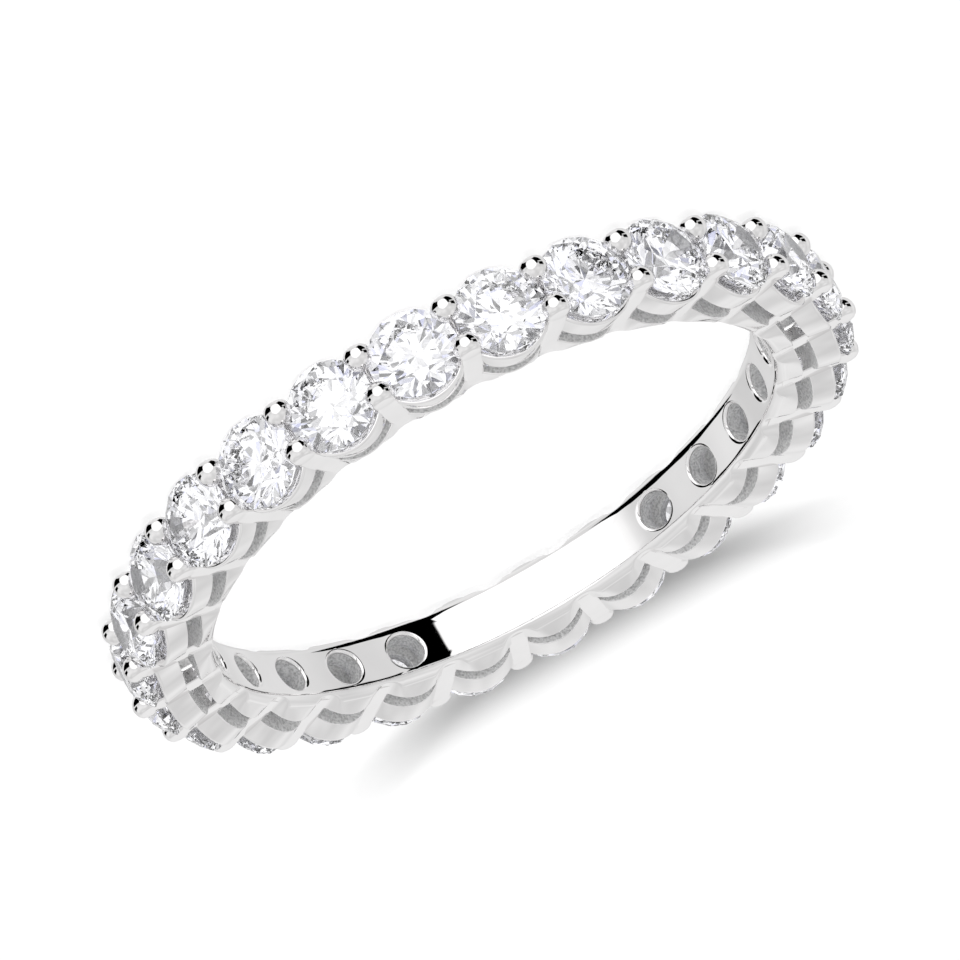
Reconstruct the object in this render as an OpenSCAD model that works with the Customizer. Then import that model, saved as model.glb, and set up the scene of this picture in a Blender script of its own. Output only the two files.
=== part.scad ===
// Full eternity ring: round brilliant stones side by side all the way round, in one cast setting.
// Neighbouring stones share two prongs. The ring lies on its side: Z is the axis of the finger
// hole, and Z = 0 is the surface that the ring rests on. The bare stretch inside is towards +Y.

/* [Ring] */
// Inside diameter of the ring, its finger size
inner_d = 17.3; // [15:0.1:21]
// Radial distance from the finger hole to the widest level of the stones
girdle_rise = 2.09; // [1.85:0.01:2.6]
// Number of stones round the ring
stone_count = 26; // [22:1:32]
// Number of neighbouring stones that have no hole behind them
plain_count = 3; // [1:2:7]

/* [Stones] */
// Free space between neighbouring stones at their widest level
stone_gap = 0.107; // [0.08:0.001:0.18]
// Thickness of the girdle, the rim round a stone's widest level
girdle_t = 0.06; // [0.03:0.01:0.1]
// Width of the flat table on top, as a share of the stone's diameter
table_share = 0.57; // [0.52:0.01:0.62]
// How far the star facets reach from the table to the girdle, as a share
star_share = 0.5; // [0.4:0.01:0.6]
// How far the lower facets reach from the girdle to the point below, as a share
lower_share = 0.77; // [0.7:0.01:0.85]
// Slope of the main facets on top
crown_angle = 34.5; // [32:0.5:37]
// Slope of the main facets below
pavilion_angle = 40.8; // [39.5:0.1:42]
// How far each stone is turned on its own axis from the one before
stone_turn = 17; // [0:1:44]

/* [Baskets] */
// Free space between a stone and the metal around it
seat_gap = 0.02; // [0.01:0.005:0.04]
// How far the rail under a stone stands out past the stone's edge
rail_proud = 0.06; // [0.04:0.01:0.12]
// How far the top of the rail lies below the stone's girdle
rail_drop = 0.26; // [0.2:0.01:0.4]
// How far the web between two baskets lies below the tops of the rails
web_drop = 0.05; // [0.02:0.01:0.15]
// How much narrower the rail is at its foot by the open gallery, on the radius
rail_taper = 0.13; // [0.05:0.01:0.2]
// How far the side of the band lies inside the rail's foot, across the open gallery
side_in = 0.03; // [0:0.01:0.1]
// How much narrower the side of the band is at the finger hole, on the radius
side_taper = 0.1; // [0.05:0.01:0.3]
// Width of the band between the baskets, along the axis of the ring
band_w = 1.54; // [1.3:0.01:1.56]
// Radial height of the solid band, from the finger hole to the open gallery
band_h = 0.66; // [0.55:0.01:0.8]
// Radial height of the open gallery between the band and the rails
gallery_h = 0.45; // [0.3:0.01:0.5]

/* [Finger hole] */
// Width of the straight wall of the finger hole, along its axis
bore_w = 1.24; // [1:0.01:1.4]
// Radius of the rounded shoulder at each end of the finger hole
shoulder_r = 0.35; // [0.2:0.01:0.45]
// Diameter of the holes behind the stones
light_hole_d = 1.04; // [0.7:0.01:1.2]
// Width of the chamfer round each of those holes
light_hole_chamfer = 0.06; // [0.02:0.01:0.1]

/* [Prongs] */
// Radius of the round bead on top of a prong
bead_r = 0.4; // [0.34:0.01:0.45]
// How far the middle of a bead lies above the widest level of the stones
bead_rise = 0.18; // [0.12:0.01:0.3]
// How far a bead reaches over the edge of a stone
prong_grip = 0.19; // [0.12:0.01:0.25]
// Width of a prong at its bead, around the ring
prong_w = 0.66; // [0.5:0.01:0.68]
// Width of a prong at the finger hole, around the ring
prong_foot_w = 0.56; // [0.4:0.01:0.66]
// How far the flat face of a prong lies from the middle of its bead, where it trims the bead
prong_face = 0.26; // [0.2:0.01:0.32]
// Depth of a prong from its flat face to its back
prong_t = 0.58; // [0.5:0.01:0.68]
// How far the flat face of a prong leans inwards from its bead to the finger hole
prong_lean = 0.1; // [0.02:0.01:0.12]
// How far the square shaft of a prong ends above the middle of its bead
prong_step = 0.06; // [0.02:0.01:0.12]

/* [Hidden] */
step = 360 / stone_count;
inner_r = inner_d / 2;
girdle_r = inner_r + girdle_rise;

// A stone fills its share of the circle, less half a gap on each side.
stone_r = (girdle_r * sin(step / 2) - stone_gap / 2) / cos(step / 2);
table_r = stone_r * table_share;
top_z = girdle_t / 2;
table_z = top_z + (stone_r - table_r) * tan(crown_angle);
// The main facets are flat, so the corners between them lie on the planes of both neighbours.
table_edge = table_r * cos(22.5);
star_r = table_edge + (stone_r - table_edge) * star_share;
star_z = top_z + (stone_r - star_r * cos(22.5)) * tan(crown_angle);
lower_r = stone_r * (1 - lower_share);
lower_z = -top_z - (stone_r - lower_r * cos(22.5)) * tan(pavilion_angle);
point_z = -top_z - stone_r * tan(pavilion_angle);

rail_r = stone_r + seat_gap + rail_proud;
rail_top = girdle_r - girdle_t / 2 - rail_drop;
gallery_r = inner_r + band_h;
gallery_top = gallery_r + gallery_h;
mid_gallery = gallery_r + gallery_h / 2;
rail_slope = rail_taper / (rail_top - gallery_top);
side_r = rail_r - rail_taper - side_in;
side_slope = side_taper / band_h;
half_w = rail_r;
// Baskets and band start inside the finger hole, which then trims them to its wall. Prongs start past it.
root = inner_r * cos(step);
foot = inner_r + shoulder_r;

bead_c = girdle_r + bead_rise;
prong_top = bead_c + prong_step;
prong_z = sqrt(pow(stone_r + bead_r - prong_grip, 2) - pow(bead_c * sin(step / 2), 2));
face_z = prong_z + prong_face;
// The face leans by the same angle all the way, so past the bead it goes on rising a little.
face_slope = prong_lean / (bead_c - inner_r);

// Cutters reach past the metal by this much.
past = 1;
round_fn = 96;
small_fn = 48;

function stone_name(i) = str("stone_", i < 10 ? "0" : "", i);
function stone_azimuth(i) = -90 + (i - 1) * step;
function has_hole(i) = abs(i - 1 - stone_count / 2) > (plain_count - 1) / 2;
function ring8(r, z, a0) = [for (k = [0:7]) [r * cos(a0 + 45 * k), r * sin(a0 + 45 * k), z]];
function ring16(r, z) = [for (k = [0:15]) [r * cos(22.5 * k), r * sin(22.5 * k), z]];

// Turns local Z outwards at the given azimuth, with the origin at the given radius.
module outwards(azimuth, r) {
    rotate([0, 0, azimuth]) translate([r, 0, 0]) rotate([0, 90, 0]) children();
}

// Round brilliant cut, table up, with the origin in the middle of its girdle:
// table, 8 star, 8 main and 16 upper facets, 16 girdle faces, 16 lower and 8 main facets below.
module brilliant() {
    table = 0;
    star = 8;
    top = 16;
    bottom = 32;
    lower = 48;
    tip = 56;
    points = concat(
        ring8(table_r, table_z, 0),
        ring8(star_r, star_z, 22.5),
        ring16(stone_r, top_z),
        ring16(stone_r, -top_z),
        ring8(lower_r, lower_z, 22.5),
        [[0, 0, point_z]]
    );
    faces = concat(
        [[for (k = [7:-1:0]) table + k]],
        [for (k = [0:7]) [table + k, table + (k + 1) % 8, star + k]],
        [for (k = [0:7]) [table + k, star + k, top + 2 * k, star + (k + 7) % 8]],
        [for (k = [0:7]) [star + k, top + 2 * k + 1, top + 2 * k]],
        [for (k = [0:7]) [star + k, top + (2 * k + 2) % 16, top + 2 * k + 1]],
        [for (k = [0:15]) [top + k, top + (k + 1) % 16, bottom + (k + 1) % 16, bottom + k]],
        [for (k = [0:7]) [bottom + 2 * k, bottom + 2 * k + 1, lower + k]],
        [for (k = [0:7]) [bottom + 2 * k + 1, bottom + (2 * k + 2) % 16, lower + k]],
        [for (k = [0:7]) [bottom + 2 * k, lower + k, tip, lower + (k + 7) % 8]]
    );
    polyhedron(points, faces, convexity = 2);
}

// Room for one stone: the round shape that holds it at any turn, and the gap around it.
module seat() {
    rotate_extrude($fn = round_fn)
        polygon([
            [0, point_z - 2 * seat_gap],
            [lower_r + seat_gap, lower_z - seat_gap],
            [stone_r + seat_gap, -top_z - seat_gap],
            [stone_r + seat_gap, top_z + seat_gap],
            [star_r + seat_gap, star_z + seat_gap],
            [star_r + seat_gap, star_z + past],
            [0, star_z + past]
        ]);
}

// Straight wall of the finger hole with a rounded shoulder at each end, as the space it takes.
module finger_hole() {
    rotate_extrude($fn = 4 * round_fn) {
        translate([0, -half_w - past]) square([inner_r, 2 * (half_w + past)]);
        for (side = [0, 1]) mirror([0, side]) difference() {
            translate([0, bore_w / 2]) square([inner_r + shoulder_r, half_w + past - bore_w / 2]);
            translate([inner_r + shoulder_r, bore_w / 2]) circle(shoulder_r, $fn = round_fn);
        }
    }
}

// Open gallery between the band and the rails, which leaves only the prongs across it.
module gallery() {
    rotate_extrude($fn = 4 * round_fn)
        translate([gallery_r, -half_w - past]) square([gallery_top - gallery_r, 2 * (half_w + past)]);
}

// Clears the thin metal between neighbouring stones down to the web, between the two rows of prongs.
module web_cut() {
    rotate_extrude($fn = 4 * round_fn)
        translate([rail_top - web_drop, -prong_z]) square([past, 2 * prong_z]);
}

// Hole behind a stone, through the band and the floor of its basket, with a chamfer at the finger hole.
module light_hole() {
    translate([0, 0, root - inner_r]) cylinder(d = light_hole_d, h = girdle_r - root, $fn = small_fn);
    translate([0, 0, -light_hole_chamfer])
        cylinder(d1 = light_hole_d + 4 * light_hole_chamfer, d2 = light_hole_d, h = 2 * light_hole_chamfer, $fn = small_fn);
}

// Round basket under one stone: its foot in the side of the band, and its rail past the open gallery.
module basket() {
    cylinder(
        r1 = side_r - side_slope * (gallery_r - root),
        r2 = side_r + side_slope * (mid_gallery - gallery_r),
        h = mid_gallery - root,
        $fn = round_fn
    );
    translate([0, 0, mid_gallery - root])
        cylinder(
            r1 = rail_r - rail_slope * (rail_top - mid_gallery),
            r2 = rail_r,
            h = rail_top - mid_gallery,
            $fn = round_fn
        );
}

// Band between the baskets, which closes the finger hole's wall all the way round.
module band() {
    rotate_extrude($fn = 4 * round_fn)
        translate([root, -band_w / 2]) square([mid_gallery - root, band_w]);
}

// One prong beside the middle plane, before it gets its flat face: a shaft that widens outwards, and a bead.
module prong() {
    translate([0, 0, face_z - prong_t]) linear_extrude(prong_t + past)
        polygon([
            [foot, -prong_foot_w / 2],
            [prong_top, -prong_w / 2],
            [prong_top, prong_w / 2],
            [foot, prong_foot_w / 2]
        ]);
    translate([bead_c, 0, prong_z]) sphere(bead_r, $fn = small_fn);
}

// Trims the row of prongs on one side to their leaning flat faces.
module face_cut() {
    rotate_extrude($fn = 4 * round_fn)
        polygon([
            [root - past, face_z - (bead_c - root + past) * face_slope],
            [bead_c + past, face_z + past * face_slope],
            [bead_c + past, face_z + 2 * past],
            [root - past, face_z + 2 * past]
        ]);
}

// The baskets joined by the band, open at the gallery.
module baskets() {
    difference() {
        union() {
            for (i = [1:stone_count]) outwards(stone_azimuth(i), root) basket();
            band();
        }
        finger_hole();
        gallery();
        web_cut();
    }
}

// Everything cast in one piece: band, baskets, prongs and beads, cut for the stones.
module setting() {
    color("silver") translate([0, 0, half_w]) difference() {
        union() {
            baskets();
            for (side = [0, 1]) mirror([0, 0, side]) difference() {
                for (i = [1:stone_count]) rotate([0, 0, stone_azimuth(i) + step / 2]) prong();
                face_cut();
            }
        }
        for (i = [1:stone_count]) outwards(stone_azimuth(i), girdle_r) seat();
        for (i = [1:stone_count]) if (has_hole(i)) outwards(stone_azimuth(i), inner_r) light_hole();
    }
}

// One stone in its seat.
module stone(i) {
    color("aliceblue") translate([0, 0, half_w])
        outwards(stone_azimuth(i), girdle_r) rotate([0, 0, i * stone_turn]) brilliant();
}

setting();
for (i = [1:stone_count]) stone(i);
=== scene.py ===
"""A full eternity ring of 26 round brilliant stones in one cast and polished setting, lying on its side."""
import math

import bmesh
import bpy
import numpy as np
from mathutils import Matrix, Vector


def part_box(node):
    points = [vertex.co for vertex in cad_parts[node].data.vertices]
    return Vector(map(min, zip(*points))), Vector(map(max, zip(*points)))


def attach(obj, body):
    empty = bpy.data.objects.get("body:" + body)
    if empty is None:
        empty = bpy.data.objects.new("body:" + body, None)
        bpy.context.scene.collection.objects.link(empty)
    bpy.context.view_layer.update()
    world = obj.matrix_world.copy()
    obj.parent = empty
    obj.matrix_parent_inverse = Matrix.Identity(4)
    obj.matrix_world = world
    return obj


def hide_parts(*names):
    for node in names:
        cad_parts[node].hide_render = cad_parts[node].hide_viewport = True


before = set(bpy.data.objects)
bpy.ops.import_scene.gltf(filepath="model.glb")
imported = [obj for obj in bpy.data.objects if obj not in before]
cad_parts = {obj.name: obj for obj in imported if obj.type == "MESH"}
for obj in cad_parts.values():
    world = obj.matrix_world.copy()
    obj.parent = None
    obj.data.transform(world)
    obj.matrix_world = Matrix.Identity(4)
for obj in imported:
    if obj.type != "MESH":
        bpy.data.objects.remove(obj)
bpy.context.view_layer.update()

# The camera. The photograph looks down at the ring at 22 degrees through a long lens, and the
# picture was turned by 150 degrees, so the near side of the ring comes at its upper left.
MM = 0.001
PICTURE = 960
low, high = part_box("setting")
MIDDLE_Z = (low[2] + high[2]) / 2
elevation, turn, azimuth = math.radians(22.03), math.radians(150.15), math.radians(0.95)
distance = 255.35 * MM
# The lens's focal length and the place of the ring's middle, both in pixels of the picture.
focal_px = 9325.4
picture_x, picture_y = 483.5, 489.3

towards = Vector((
    math.sin(azimuth) * math.cos(elevation),
    -math.cos(azimuth) * math.cos(elevation),
    math.sin(elevation),
))
level = Vector((math.cos(azimuth), math.sin(azimuth), 0))
upright = towards.cross(level)
right = math.cos(turn) * level + math.sin(turn) * upright
up = math.cos(turn) * upright - math.sin(turn) * level
pixel_m = distance / focal_px
place = Vector((0, 0, MIDDLE_Z)) + towards * distance
place += -right * (picture_x - PICTURE / 2) * pixel_m + up * (picture_y - PICTURE / 2) * pixel_m

lens = bpy.data.cameras.new("camera")
lens.sensor_width = 36
lens.lens = focal_px / PICTURE * lens.sensor_width
lens.clip_start = 0.01
lens.clip_end = 20
camera = bpy.data.objects.new("camera", lens)
pose = Matrix((right, up, towards)).transposed().to_4x4()
pose.translation = place
camera.matrix_world = pose
bpy.context.scene.collection.objects.link(camera)
bpy.context.scene.camera = camera
bpy.context.scene.view_settings.view_transform = "Standard"


# The table top that the ring lies on: a sheet of matt white card, so wide that no edge is in sight.
# It only takes light and shadow: polished metal and stones don't show it, as in the photograph.
def linear(code):
    """The linear colour of an sRGB hex code: c / 12.92 up to 0.04045, ((c + 0.055) / 1.055) ^ 2.4 above."""
    c = np.array([int(code[k:k + 2], 16) for k in (1, 3, 5)]) / 255
    return (*np.where(c <= 0.04045, c / 12.92, ((c + 0.055) / 1.055) ** 2.4), 1.0)


def add(tree, kind, settings=None, links=None):
    """Adds one node with its settings, sockets by name or number, and links given as (node, socket)."""
    node = tree.nodes.new(kind)
    for key, value in (settings or {}).items():
        if isinstance(key, str) and hasattr(node, key):
            setattr(node, key, value)
        else:
            node.inputs[key].default_value = value
    for key, (source, socket) in (links or {}).items():
        tree.links.new(source.outputs[socket], node.inputs[key])
    return node


def new_material(name):
    """An empty node material with its output, and the node tree that its layers are added to."""
    material = bpy.data.materials.new(name)
    material.use_nodes = True
    tree = material.node_tree
    tree.nodes.clear()
    return material, tree, tree.nodes.new("ShaderNodeOutputMaterial")


def make_piece(name, points, faces, skins, *materials):
    """A mesh piece from an (n, 3) array in metres and its quads, with its doubles merged and its faces
    turned outwards. Skins holds the number of each quad's material."""
    mesh = bpy.data.meshes.new(name)
    mesh.from_pydata(points, [], faces)
    mesh.polygons.foreach_set("material_index", skins)
    shell = bmesh.new()
    shell.from_mesh(mesh)
    bmesh.ops.remove_doubles(shell, verts=shell.verts, dist=2e-7)
    bmesh.ops.dissolve_degenerate(shell, edges=shell.edges, dist=1e-8)
    bmesh.ops.recalc_face_normals(shell, faces=shell.faces)
    shell.to_mesh(mesh)
    shell.free()
    mesh.shade_smooth()
    for material in materials:
        mesh.materials.append(material)
    piece = bpy.data.objects.new(name, mesh)
    bpy.context.scene.collection.objects.link(piece)
    return piece


def quads(sheets, cast=()):
    """Joins sheets, arrays of (copies, rows, columns, 3) in millimetres, into points in metres, the quads
    of their grids, and a skin for each quad: 1 on the sheets whose numbers are in cast, else 0."""
    points, faces, skins, first = [], [], [], 0
    for number, sheet in enumerate(sheets):
        copies, rows, columns, _ = sheet.shape
        at = first + np.arange(copies * rows * columns).reshape(copies, rows, columns)
        corners = at[:, :-1, :-1], at[:, 1:, :-1], at[:, 1:, 1:], at[:, :-1, 1:]
        faces.append(np.stack(corners, -1).reshape(-1, 4))
        skins.append(np.full(len(faces[-1]), int(number in cast)))
        points.append(sheet.reshape(-1, 3))
        first += sheet[..., 0].size
    return np.concatenate(points) * MM, np.concatenate(faces), np.concatenate(skins)


card, tree, out = new_material("matt white card")
where = add(tree, "ShaderNodeTexCoord")
# Paper fibres are some 20 micrometres wide, and are drawn 1 mm wide so that they show.
fibre = add(tree, "ShaderNodeTexNoise", {"Scale": 900.0, "Detail": 4.0}, {"Vector": (where, "Object")})
tint = add(tree, "ShaderNodeMix", {"data_type": "RGBA", "A": linear("#EFEFEF"), "B": linear("#F3F3F3")},
           {"Factor": (fibre, "Fac")})
tooth = add(tree, "ShaderNodeBump", {"Strength": 0.1, "Distance": 0.00002}, {"Height": (fibre, "Fac")})
paper = add(tree, "ShaderNodeBsdfPrincipled", {"Roughness": 0.95},
            {"Base Color": (tint, "Result"), "Normal": (tooth, "Normal")})
tree.links.new(paper.outputs["BSDF"], out.inputs["Surface"])

# A square grid of (x, y, 0) in millimetres, half of whose width is CARD_REACH.
CARD_REACH = 3000
reach = np.linspace(-CARD_REACH, CARD_REACH, 5)
card_sheet = np.stack(np.meshgrid(reach, reach, [0.0], indexing="ij"), -1)[None, :, :, 0]
table_top = make_piece("table_top", *quads([card_sheet]), card)
table_top.visible_glossy = False
table_top.visible_transmission = False

# The light. Polished metal and cut stones show a white room of screens with dark gaps between
# them. The card is lit by two lamps, and a little by the room.
room = bpy.data.worlds.new("studio")
bpy.context.scene.world = room
room.use_nodes = True
tree = room.node_tree
tree.nodes.clear()
gaze = add(tree, "ShaderNodeTexCoord")
split = add(tree, "ShaderNodeSeparateXYZ", None, {"Vector": (gaze, "Generated")})
backwards = add(tree, "ShaderNodeMath", {"operation": "MULTIPLY", 1: -1.0}, {0: (split, "Y")})
bearing = add(tree, "ShaderNodeMath", {"operation": "ARCTAN2"}, {0: (split, "X"), 1: (backwards, 0)})
# Each dark gap: from and to in degrees to the right of the front, which is -Y, then from and to in
# degrees of height.
gaps = (
    (-96, -40, -64, -25),
    (-96, -60, -18, 2),
    (-58, -40, -27, -12),
    (40, 118, -62, -25),
    (78, 118, -18, -2),
)
# How soft a gap's edges are: to the sides as an angle, in height as a share of the room's radius.
SIDE_SOFT = math.radians(0.4)
HEIGHT_SOFT = 0.015
shade = None
for left, to_right, bottom, to_top in gaps:
    sides = (bearing, 0, math.radians(left), math.radians(to_right), SIDE_SOFT)
    heights = (split, "Z", math.sin(math.radians(bottom)), math.sin(math.radians(to_top)), HEIGHT_SOFT)
    inside = None
    for source, socket, start, stop, soft in (sides, heights):
        for limit, rise in ((start, soft), (stop, -soft)):
            ramp = add(tree, "ShaderNodeMapRange", {
                "interpolation_type": "SMOOTHSTEP", "From Min": limit - rise, "From Max": limit + rise,
            }, {"Value": (source, socket)})
            inside = ramp if inside is None else add(
                tree, "ShaderNodeMath", {"operation": "MULTIPLY"}, {0: (inside, 0), 1: (ramp, 0)})
    lit = add(tree, "ShaderNodeMath", {"operation": "SUBTRACT", 0: 1.0}, {1: (inside, 0)})
    shade = lit if shade is None else add(
        tree, "ShaderNodeMath", {"operation": "MULTIPLY"}, {0: (shade, 0), 1: (lit, 0)})
# The screens are brightest in front, below the camera, and have soft clouds in them.
BRIGHTEST = (0.0, -0.93, -0.37)
front = add(tree, "ShaderNodeVectorMath", {"operation": "DOT_PRODUCT", 1: BRIGHTEST},
            {0: (gaze, "Generated")})
fall = add(tree, "ShaderNodeMapRange", {"interpolation_type": "SMOOTHSTEP", "From Min": 0.72,
                                        "From Max": 0.86, "To Min": 0.8, "To Max": 1.4},
           {"Value": (front, "Value")})
clouds = add(tree, "ShaderNodeTexNoise", {"Scale": 1.6, "Detail": 1.0}, {"Vector": (gaze, "Generated")})
soft_clouds = add(tree, "ShaderNodeMapRange", {"From Min": 0.3, "From Max": 0.7, "To Min": 0.84,
                                               "To Max": 1.1}, {"Value": (clouds, "Fac")})
cloudy = add(tree, "ShaderNodeMath", {"operation": "MULTIPLY"}, {0: (soft_clouds, 0), 1: (fall, 0)})
screens = add(tree, "ShaderNodeMath", {"operation": "MULTIPLY"}, {0: (shade, 0), 1: (cloudy, 0)})
# Light that has gone through a stone comes from all over the room: white, with small dark parts and
# a few faint violet ones.
bits = add(tree, "ShaderNodeTexNoise", {"Scale": 3.8, "Detail": 2.0}, {"Vector": (gaze, "Generated")})
glitter = add(tree, "ShaderNodeMapRange", {"interpolation_type": "SMOOTHSTEP", "From Min": 0.28,
                                           "From Max": 0.56, "To Min": 0.06, "To Max": 1.36},
              {"Value": (bits, "Fac")})
veils = add(tree, "ShaderNodeTexNoise", {"Scale": 2.3, "Detail": 0.0}, {"Vector": (gaze, "Generated")})
violet = add(tree, "ShaderNodeMapRange", {"From Min": 0.62, "From Max": 0.7}, {"Value": (veils, "Fac")})
fire = add(tree, "ShaderNodeMix", {"data_type": "RGBA", "A": linear("#FFFFFF"), "B": linear("#DCDEF4")},
           {"Factor": (violet, "Result")})
ray = add(tree, "ShaderNodeLightPath")
# The room gives the card only a small part of its light: the two lamps give the rest.
matt = add(tree, "ShaderNodeMapRange", {"To Min": 1.0, "To Max": 0.18}, {"Value": (ray, "Is Diffuse Ray")})
polished = add(tree, "ShaderNodeMix", None,
               {"Factor": (ray, "Is Glossy Ray"), "A": (matt, 0), "B": (screens, 0)})
seen = add(tree, "ShaderNodeMix", None,
           {"Factor": (ray, "Is Transmission Ray"), "A": (polished, 0), "B": (glitter, 0)})
tone = add(tree, "ShaderNodeMix", {"data_type": "RGBA", "A": linear("#FFFFFF")},
           {"Factor": (ray, "Is Transmission Ray"), "B": (fire, "Result")})
sky = add(tree, "ShaderNodeBackground", None, {"Color": (tone, "Result"), "Strength": (seen, "Result")})
add(tree, "ShaderNodeOutputWorld", None, {"Surface": (sky, "Background")})

# The wide lamp stands in front of the ring and gives it its soft shadow. The small one stands
# right behind the camera, and only the flag shades it.
lamp_side = math.radians(-90) + azimuth
lamps = {}
# Each lamp: its name, its strength, its width in degrees and its height above the table as an angle.
lamp_table = (
    ("wide_lamp", 0.9, 26, math.radians(42)),
    ("small_lamp", 6.8, 1.3, elevation),
)
for name, energy, width, height in lamp_table:
    light = bpy.data.lights.new(name, "SUN")
    light.energy = energy
    light.angle = math.radians(width)
    lamps[name] = bpy.data.objects.new(name, light)
    to_lamp = Vector((
        math.cos(lamp_side) * math.cos(height),
        math.sin(lamp_side) * math.cos(height),
        math.sin(height),
    ))
    lamps[name].matrix_world = to_lamp.to_track_quat("Z", "Y").to_matrix().to_4x4()
    lamps[name].visible_glossy = False
    lamps[name].visible_transmission = False
    bpy.context.scene.collection.objects.link(lamps[name])

# The flag, a bent leaf of black felt. It hangs out of sight in the small lamp's light and throws
# the photograph's soft shadow beyond the far side of the ring.
black_felt, tree, out = new_material("black felt")
where = add(tree, "ShaderNodeTexCoord")
# Felted wool has tufts half a millimetre wide, and swallows nearly all light.
pile = add(tree, "ShaderNodeTexNoise", {"Scale": 2000.0}, {"Vector": (where, "Object")})
nap = add(tree, "ShaderNodeMix", {"data_type": "RGBA", "A": linear("#191919"), "B": linear("#303030")},
          {"Factor": (pile, "Fac")})
felt = add(tree, "ShaderNodeBsdfPrincipled", {"Roughness": 1.0}, {"Base Color": (nap, "Result")})
tree.links.new(felt.outputs["BSDF"], out.inputs["Surface"])
# In millimetres: the middle of the shade on the card, how far before it the flag hangs, half of the
# flag's length, its shift and its bow, and half of its width.
SHADED = (-1.02, 15.65, 0.0)
FLAG_AWAY = 60
FLAG_LENGTH = 9.3
FLAG_SHIFT = 0.04
FLAG_BOW = 1.65
FLAG_WIDTH = 0.85
slant = math.radians(30)
along = np.array(right) * math.cos(slant) + np.array(up) * math.sin(slant)
across = np.array(right) * math.sin(slant) - np.array(up) * math.cos(slant)
flag_at = np.array(SHADED) + FLAG_AWAY * np.array(towards)
# It faces the lamp. With t from -1 to 1 it is l t along it, and across it s + c t ^ 2 for its
# bow, with half a width of b (1 - t ^ 2) ^ 2 to either side.
t = np.linspace(-1, 1, 49)[:, None, None]
edge = np.linspace(-1, 1, 2)[None, :, None]
flag_across = FLAG_SHIFT + FLAG_BOW * t ** 2 + FLAG_WIDTH * (1 - t ** 2) ** 2 * edge
flag_sheet = flag_at + FLAG_LENGTH * t * along + flag_across * across
flag = make_piece("flag", *quads([flag_sheet[None]]), black_felt)
# It takes the lamp's light away, and nothing else shows it.
for kind_of_ray in ("camera", "diffuse", "glossy", "transmission"):
    setattr(flag, "visible_" + kind_of_ray, False)
shades = bpy.data.collections.new("shades_the_lamp")
shades.objects.link(flag)
lamps["small_lamp"].light_linking.blocker_collection = shades

# The finger band: cast silver under rhodium plating, polished until it mirrors the whole room. Its
# edge waves out round each basket, and a hole behind each stone lets the light in, but not at the
# three stones of the bare stretch.
plating, tree, out = new_material("polished rhodium plated silver")
where = add(tree, "ShaderNodeTexCoord")
# Wheel marks of the last polish, some 20 micrometres apart and drawn at 60 so that they show,
# on the soft waves, about 1 mm long, that polishing by hand leaves.
marks = add(tree, "ShaderNodeTexNoise", {"Scale": 16000.0, "Detail": 3.0}, {"Vector": (where, "Object")})
swell = add(tree, "ShaderNodeTexNoise", {"Scale": 900.0, "Detail": 2.0}, {"Vector": (where, "Object")})
gloss = add(tree, "ShaderNodeMapRange", {"To Min": 0.01, "To Max": 0.035}, {"Value": (marks, "Fac")})
cloud = add(tree, "ShaderNodeMix", {"data_type": "RGBA", "A": linear("#F0EFEF"), "B": linear("#FBFAFA")},
            {"Factor": (swell, "Fac")})
dents = add(tree, "ShaderNodeBump", {"Strength": 0.15, "Distance": 0.00001}, {"Height": (swell, "Fac")})
metal = add(tree, "ShaderNodeBsdfPrincipled", {"Metallic": 1.0},
            {"Base Color": (cloud, "Result"), "Roughness": (gloss, "Result"), "Normal": (dents, "Normal")})
tree.links.new(metal.outputs["BSDF"], out.inputs["Surface"])

# Where no wheel can reach, the plating lies on the skin of the casting. Its grains of some 70
# micrometres scatter the light, so the holes and the gallery look a mottled grey.
skin, tree, out = new_material("as-cast rhodium plated silver")
where = add(tree, "ShaderNodeTexCoord")
grain = add(tree, "ShaderNodeTexNoise", {"Scale": 14000.0, "Detail": 4.0}, {"Vector": (where, "Object")})
shine = add(tree, "ShaderNodeMapRange", {"To Min": 0.5, "To Max": 0.75}, {"Value": (grain, "Fac")})
pits = add(tree, "ShaderNodeMapRange", {"From Min": 0.3, "From Max": 0.6}, {"Value": (grain, "Fac")})
dull = add(tree, "ShaderNodeMix", {"data_type": "RGBA", "A": linear("#D2D2D2"), "B": linear("#FFFFFF")},
           {"Factor": (pits, "Result")})
rough = add(tree, "ShaderNodeBump", {"Strength": 0.6, "Distance": 0.00001}, {"Height": (grain, "Fac")})
casting = add(tree, "ShaderNodeBsdfPrincipled", {"Metallic": 1.0},
              {"Base Color": (dull, "Result"), "Roughness": (shine, "Result"), "Normal": (rough, "Normal")})
tree.links.new(casting.outputs["BSDF"], out.inputs["Surface"])

# In millimetres. FINGER_R and GALLERY_R are from the ring's axis, and all widths are half of the whole.
STONES = 26
STEP = math.radians(360 / STONES)
FINGER_R = 8.65
WALL_W = 0.62
SHOULDER = 0.35
BAND_W = 0.77
GALLERY_R = 9.31
SIDE_R = 1.17
SIDE_SLOPE = 0.1515
SIDE_BLEND = 0.12
CREST_ROUND = 0.05
TOP_ROUND = 0.04
EDGE_POINTS = 4
HOLE_R = 0.52
RIM = 0.1
BARE = (13, 14, 15)
axes = np.radians(-90) + np.arange(STONES) * STEP


def side_radius(height):
    """How far the band's side reaches under a stone: a cone, narrower at the finger than at the gallery."""
    return SIDE_R + SIDE_SLOPE * (height - GALLERY_R)


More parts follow.
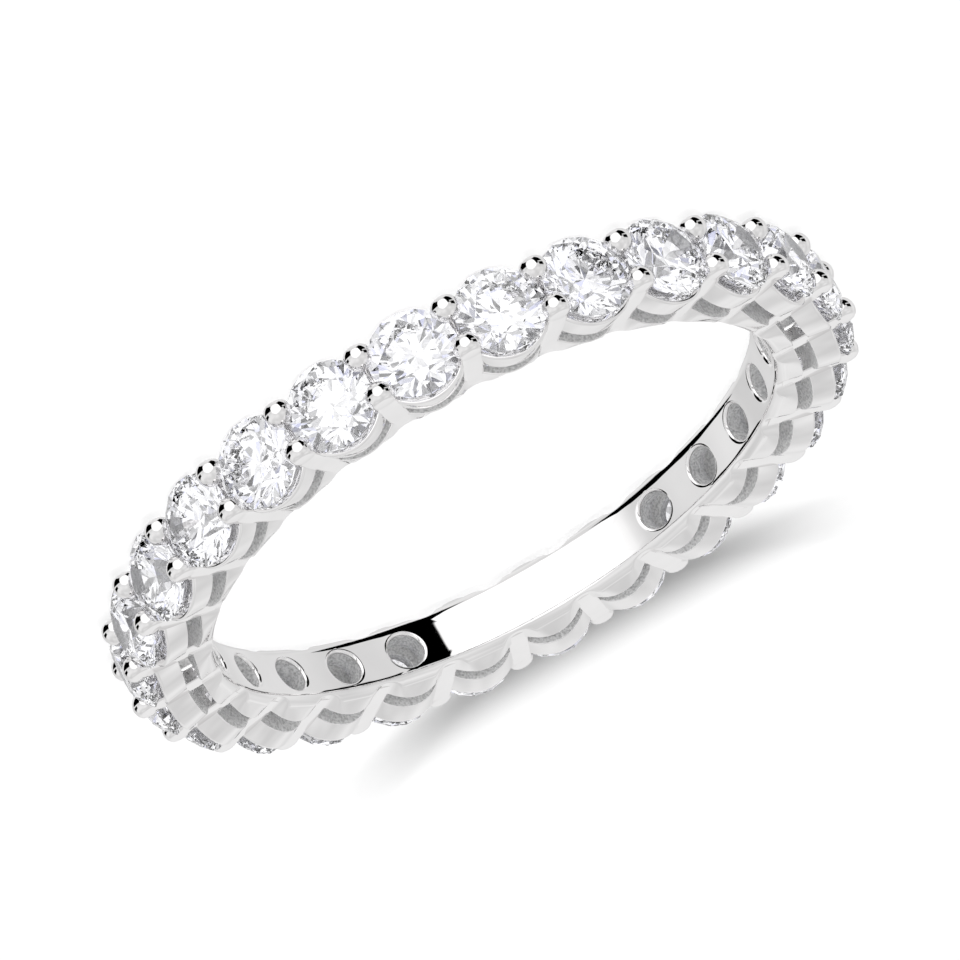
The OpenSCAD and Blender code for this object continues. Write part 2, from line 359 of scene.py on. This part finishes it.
def edge_of_band(angle, radius):
    """Half width of the band at an angle from a stone's axis: the larger of its plain half width a and the
    cone's half width b = sqrt(r ^ 2 - t ^ 2), blended softly as 0.5 (a + b + sqrt((a - b) ^ 2 + k ^ 2))."""
    t = radius * np.sin(angle)
    height = radius * np.cos(angle)
    cone = np.sqrt(np.maximum(side_radius(height) ** 2 - t ** 2, 0))
    return 0.5 * (BAND_W + cone + np.sqrt((BAND_W - cone) ** 2 + SIDE_BLEND ** 2))


def in_ring(angle, radius, z, axis):
    """Points of one cell for every axis given: (R cos, R sin, z). The axis is the first index."""
    whole = axis.reshape((-1,) + (1,) * np.ndim(angle)) + angle
    z = np.broadcast_to(z, whole.shape)
    return np.stack([radius * np.cos(whole), radius * np.sin(whole), z], -1)


# The band is made of one cell for each stone, with so many columns round the ring and rows across it.
COLUMNS = 24
ROWS = 12
column = np.linspace(-STEP / 2, STEP / 2, COLUMNS + 1)
row = np.linspace(-1, 1, ROWS + 1)

# From the wall's edge up the round shoulder, to where it meets the waving side. That angle is
# found by going half the way to w = WALL_W + SHOULDER sin(bend) again and again.
bend = np.full(COLUMNS + 1, 1.0)
for _ in range(30):
    meets = edge_of_band(column, FINGER_R + SHOULDER * (1 - np.cos(bend)))
    bend = 0.5 * bend + 0.5 * np.arcsin(np.clip((meets - WALL_W) / SHOULDER, 0, 0.98))
part = np.linspace(0, 1, 9)[:, None]
shoulder = np.stack([
    FINGER_R + SHOULDER * (1 - np.cos(bend * part)),
    WALL_W + SHOULDER * np.sin(bend * part),
], -1)
crest = shoulder[-1]
outer = np.stack([np.full(COLUMNS + 1, GALLERY_R), edge_of_band(column, GALLERY_R)], -1)


def on_the_way(corner, point, radius):
    """The place at a radius from the corner towards the point, but no further than 0.45 of the way. The
    distance is that of the first two columns."""
    way = point - corner
    length = np.maximum(np.linalg.norm(way[..., :2], axis=-1, keepdims=True), 1e-6)
    return corner + way * np.minimum(radius / length, 0.45)


def rounded(before, corner, after, radius, count):
    """Points of the curve (1 - s) ^ 2 A + 2 s (1 - s) C + s ^ 2 B, which rounds the corner C."""
    a = on_the_way(corner, before, radius)
    b = on_the_way(corner, after, radius)
    s = np.linspace(0, 1, count)[:, None, None]
    return (1 - s) ** 2 * a + 2 * s * (1 - s) * corner + s ** 2 * b


# The last corner is rounded towards a point further in on the gallery's floor.
inside_top = outer * (1, 0.5)
profile = np.concatenate([
    shoulder[:-1],
    rounded(shoulder[-3], crest, outer, CREST_ROUND, EDGE_POINTS),
    rounded(crest, outer, inside_top, TOP_ROUND, EDGE_POINTS),
])
top_edge = profile[-1]
angles = np.broadcast_to(column, profile.shape[:2])
side = in_ring(angles, profile[..., 0], profile[..., 1], axes)
other_side = side * (1, 1, -1)


def pierced(radius, edge_z, hole, axis, rings):
    """A cell of wall round its hole. Each point B of the cell's outline has its own point on the hole's
    circle, C = hole (cos, sin), and the rings between are C + (B - C) v. A hole of 0 closes the cell."""
    z_end = np.broadcast_to(edge_z, COLUMNS + 1)
    outline = np.concatenate([
        np.stack([column[:-1], -z_end[:-1]], -1),
        np.stack([np.full(ROWS, column[-1]), z_end[-1] * row[:-1]], -1),
        np.stack([column[:0:-1], z_end[:0:-1]], -1),
        np.stack([np.full(ROWS + 1, column[0]), -z_end[0] * row], -1),
    ])
    turn_to = np.arctan2(outline[:, 1], outline[:, 0] * radius)
    circle = np.stack([np.arcsin(hole * np.cos(turn_to) / radius), hole * np.sin(turn_to)], -1)
    v = np.asarray(rings)[:, None, None]
    flat = circle + (outline - circle) * v
    return in_ring(flat[..., 0], radius, flat[..., 1], axis), turn_to


def tube(turn_to, radius, height, axis):
    """Rings round a stone's axis: radius cos across, radius sin in z, and a height from the ring's axis."""
    across_it = radius * np.cos(turn_to)
    z = radius * np.sin(turn_to)
    x = np.cos(axis)[:, None, None] * height - np.sin(axis)[:, None, None] * across_it
    y = np.sin(axis)[:, None, None] * height + np.cos(axis)[:, None, None] * across_it
    return np.stack([x, y, np.broadcast_to(z, x.shape)], -1)


open_axes = axes[[k for k in range(STONES) if k + 1 not in BARE]]
bare_axes = axes[[k for k in range(STONES) if k + 1 in BARE]]
rings = (0, 0.08, 0.2, 0.4, 0.65, 1)
wall, around = pierced(FINGER_R, WALL_W, HOLE_R + RIM, open_axes, rings)
top, around_top = pierced(GALLERY_R, top_edge[:, 1], HOLE_R, open_axes, rings)
# The hole's mouth is a quarter of a circle of radius RIM, and its bore goes on from there to the gallery.
s = np.radians(np.linspace(0, 90, 6))[:, None]
mouth_r = HOLE_R + RIM * (1 - np.sin(s))
mouth_start = np.sqrt(FINGER_R ** 2 - (mouth_r * np.cos(around)) ** 2)
mouth = tube(around, mouth_r, mouth_start + RIM * (1 - np.cos(s)), open_axes)
below = np.sqrt(FINGER_R ** 2 - (HOLE_R * np.cos(around)) ** 2) + RIM
above = np.sqrt(GALLERY_R ** 2 - (HOLE_R * np.cos(around_top)) ** 2)
part = np.linspace(0, 1, 4)[:, None]
bore = tube(around + (around_top - around) * part, HOLE_R, below + (above - below) * part, open_axes)
# The cells of the bare stretch have no hole.
blind, _ = pierced(FINGER_R, WALL_W, 0, bare_axes, rings)
blind_top, _ = pierced(GALLERY_R, top_edge[:, 1], 0, bare_axes, rings)
# As cast are the floor of the gallery and the bores, the rest is polished.
band_sheets = [side, other_side, wall, top, mouth, bore, blind, blind_top]
band_points, *band_faces = quads(band_sheets, cast=(3, 5, 7))
band_points[:, 2] += MIDDLE_Z
band = make_piece("finger_band", band_points, *band_faces, plating, skin)
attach(band, "root")
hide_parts("setting")

# The baskets: one cast cup for each stone, a cone that opens outwards with a polished round rim.
# The stone's lower cone rests in it, and the hole behind the stone goes on through its floor.
GIRDLE_R = 10.74
HALF_GIRDLE = 0.03
STONE_R = 1.2502
RAIL_TOP = 10.45
RAIL_R = 1.33
RAIL_SLOPE = 0.1884
GALLERY_TOP = 9.76
PAVILION = math.tan(math.radians(40.8))
SEAT_GAP = 0.02
ROUND_FN = 64
CORNER_POINTS = 6


def rail_radius(height):
    """Outside radius of a basket's rail: a cone, R at its top and narrower towards the gallery."""
    return RAIL_R - RAIL_SLOPE * (RAIL_TOP - height)


def seat_radius(height):
    """Inside radius of the cup, along the stone's lower cone: R - (girdle - h) / tan, and the gap."""
    return STONE_R + SEAT_GAP - (GIRDLE_R - HALF_GIRDLE - height) / PAVILION


def revolve(profile, axis):
    """Turns a profile about each stone's axis. Its columns are radius, height, and 1 where it follows the
    round surface of the open gallery, h = sqrt(G ^ 2 - t ^ 2), else 0."""
    phi = np.linspace(0, 2 * np.pi, ROUND_FN + 1)[:, None]
    r, h, on_gallery = profile.T
    t = r * np.cos(phi)
    height = h - on_gallery * (GALLERY_TOP - np.sqrt(GALLERY_TOP ** 2 - t ** 2))
    return tube(phi, r, height, axis)


# The cup's outline, from corner to corner: radius, height, and 1 on the gallery's round surface.
meet = GIRDLE_R - HALF_GIRDLE - (STONE_R + SEAT_GAP - HOLE_R) * PAVILION
cup_corners = np.array([
    (rail_radius(GALLERY_TOP), GALLERY_TOP, 1),
    (rail_radius(RAIL_TOP), RAIL_TOP, 0),
    (seat_radius(RAIL_TOP), RAIL_TOP, 0),
    (HOLE_R, meet, 0),
    (HOLE_R, GALLERY_TOP, 1),
])
how_round = np.array([0.03, 0.1, 0.05, 0.03, 0.03])[:, None]
cup_before, cup_after = np.roll(cup_corners, 1, 0), np.roll(cup_corners, -1, 0)
cup = rounded(cup_before, cup_corners, cup_after, how_round, CORNER_POINTS)
cup = cup.transpose(1, 0, 2).reshape(-1, 3)
# It is polished from the gallery's edge over the rim to the end of its third corner, and as cast
# from there down the seat and the hole and back along the gallery.
rim_end = 3 * CORNER_POINTS
polished_part = cup[2:rim_end]
cast_part = np.concatenate([cup[rim_end - 1:], cup[:3]])
cup_points, *cup_faces = quads([revolve(polished_part, axes), revolve(cast_part, axes)], cast=(1,))
cup_points[:, 2] += MIDDLE_Z
baskets = make_piece("baskets", cup_points, *cup_faces, plating, skin)
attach(baskets, "root")
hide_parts("setting")

# The prongs: between each two stones a cast post on either side, flat on its outer face and
# leaning a little inwards, with its end worked into a round bead that is pressed over both stones.
BEAD_R = 0.4
BEAD_C = 10.92
NECK = BEAD_C - 0.3
NECK_LENGTH = 0.28
PRONG_Z = 0.632
# The post's flat face and its back, from the middle of the bead, and how much the face leans.
FACE = 0.26
BACK = -0.32
LEAN = 0.1 / (BEAD_C - FINGER_R)
FACE_ROUND = 0.035
ROOT = 8.9
# Half of the post's width at two radii, between which it grows evenly.
POST_LOW_R = 8.4
POST_LOW_W = 0.28
POST_TOP_R = 10.98
POST_TOP_W = 0.33
SQUARENESS = 8


def prong_outline(radius, phi):
    """The post's cross-section at a radius. Below it is a rounded oblong, (|x| / a) ^ n + (|y| / b) ^ n
    = 1, and above the bead's circle, sqrt(r ^ 2 - (R - c) ^ 2). From the neck on, one turns into the
    other. The outer face f stays flat, by 0.5 (y + f - sqrt((y - f) ^ 2 + k ^ 2))."""
    c = np.cos(phi)
    s = np.sin(phi)
    a = POST_LOW_W + (POST_TOP_W - POST_LOW_W) * (radius - POST_LOW_R) / (POST_TOP_R - POST_LOW_R)
    b = (FACE - BACK) / 2
    rho = 1 / ((np.abs(c) / a) ** SQUARENESS + (np.abs(s) / b) ** SQUARENESS) ** (1 / SQUARENESS)
    x = rho * c
    y = rho * s + (FACE + BACK) / 2
    ball = np.sqrt(np.maximum(BEAD_R ** 2 - (radius - BEAD_C) ** 2, 0))
    w = np.clip((radius - NECK) / NECK_LENGTH, 0, 1)
    w = w * w * (3 - 2 * w)
    x = x + (ball * c - x) * w
    y = y + (ball * s - y) * w
    face = FACE + LEAN * (radius - BEAD_C)
    y = 0.5 * (y + face - np.sqrt((y - face) ** 2 + FACE_ROUND ** 2))
    return x, y


lift = np.concatenate([
    np.linspace(ROOT, NECK, 6)[:-1],
    np.linspace(NECK, BEAD_C, 8)[:-1],
    BEAD_C + BEAD_R * np.sin(np.radians(np.linspace(0, 90, 11))),
])[:, None]
phi = np.linspace(0, 2 * np.pi, 41)[None, :]
x, y = prong_outline(lift, phi)
# A first ring of one single point closes the post's foot, inside the band.
x = np.concatenate([np.zeros_like(x[:1]), x])
y = np.concatenate([np.full_like(y[:1], y[0].mean()), y])
lift = np.concatenate([lift[:1], lift])
between = axes + STEP / 2
px = np.cos(between)[:, None, None] * lift - np.sin(between)[:, None, None] * x
py = np.sin(between)[:, None, None] * lift + np.cos(between)[:, None, None] * x
pz = np.broadcast_to(PRONG_Z + y, px.shape)
upper = np.stack([px, py, pz], -1)
prong_points, *prong_faces = quads([upper, upper * (1, 1, -1)])
prong_points[:, 2] += MIDDLE_Z
prongs = make_piece("prongs", prong_points, *prong_faces, plating)

# The setter cuts each stone's place into the prongs: the round room of its crown, girdle and lower
# cone, as a profile of radius and height.
CROWN = math.tan(math.radians(34.5))
TABLE_R = 0.7
GIRDLE_ROOM = 0.05
ROOM_FOOT = 9.5
ROOM_TOP = 12.2
room_of_stone = np.array([
    (0.0, ROOM_FOOT, 0),
    (STONE_R + SEAT_GAP, GIRDLE_R - GIRDLE_ROOM, 0),
    (STONE_R + SEAT_GAP, GIRDLE_R + GIRDLE_ROOM, 0),
    (TABLE_R + SEAT_GAP, GIRDLE_R + GIRDLE_ROOM + (STONE_R - TABLE_R) * CROWN, 0),
    (TABLE_R + SEAT_GAP, ROOM_TOP, 0),
    (0.0, ROOM_TOP, 0),
])
seat_points, *seat_faces = quads([revolve(room_of_stone, axes)])
seat_points[:, 2] += MIDDLE_Z
seats = make_piece("seats", seat_points, *seat_faces, plating)
notch = prongs.modifiers.new("seats", "BOOLEAN")
notch.object = seats
notch.solver = "MANIFOLD"
solid = bpy.data.meshes.new_from_object(prongs.evaluated_get(bpy.context.evaluated_depsgraph_get()))
prongs.modifiers.clear()
prongs.data = solid
bpy.data.objects.remove(seats)
solid.shade_smooth()
solid.set_sharp_from_angle(angle=math.radians(35))
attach(prongs, "root")
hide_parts("setting")

# The stones: round brilliants of cubic zirconia, whose flat polished facets break the room into
# bright and dark bits. Each is the solid of the frame as it is, because its facets are the real ones.
zirconia, tree, out = new_material("cubic zirconia")
where = add(tree, "ShaderNodeTexCoord")
# A faint cold tinge comes and goes over 1.5 mm. The index of refraction is 2.17 by the book, and was
# matched to the photograph's glitter at 2.3.
tinge = add(tree, "ShaderNodeTexNoise", {"Scale": 700.0, "Detail": 1.0}, {"Vector": (where, "Object")})
hue = add(tree, "ShaderNodeMix", {"data_type": "RGBA", "A": linear("#FFFFFF"), "B": linear("#FAFAFF")},
          {"Factor": (tinge, "Fac")})
gem = add(tree, "ShaderNodeBsdfPrincipled", {"Roughness": 0.0, "IOR": 2.3, "Transmission Weight": 1.0},
          {"Base Color": (hue, "Result")})
tree.links.new(gem.outputs["BSDF"], out.inputs["Surface"])
# Light turns round many times inside a cut stone before it comes out again.
paths = bpy.context.scene.cycles
paths.max_bounces, paths.glossy_bounces, paths.transmission_bounces = 24, 16, 16
for name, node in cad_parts.items():
    if name.startswith("stone_"):
        node.data.materials.clear()
        node.data.materials.append(zirconia)
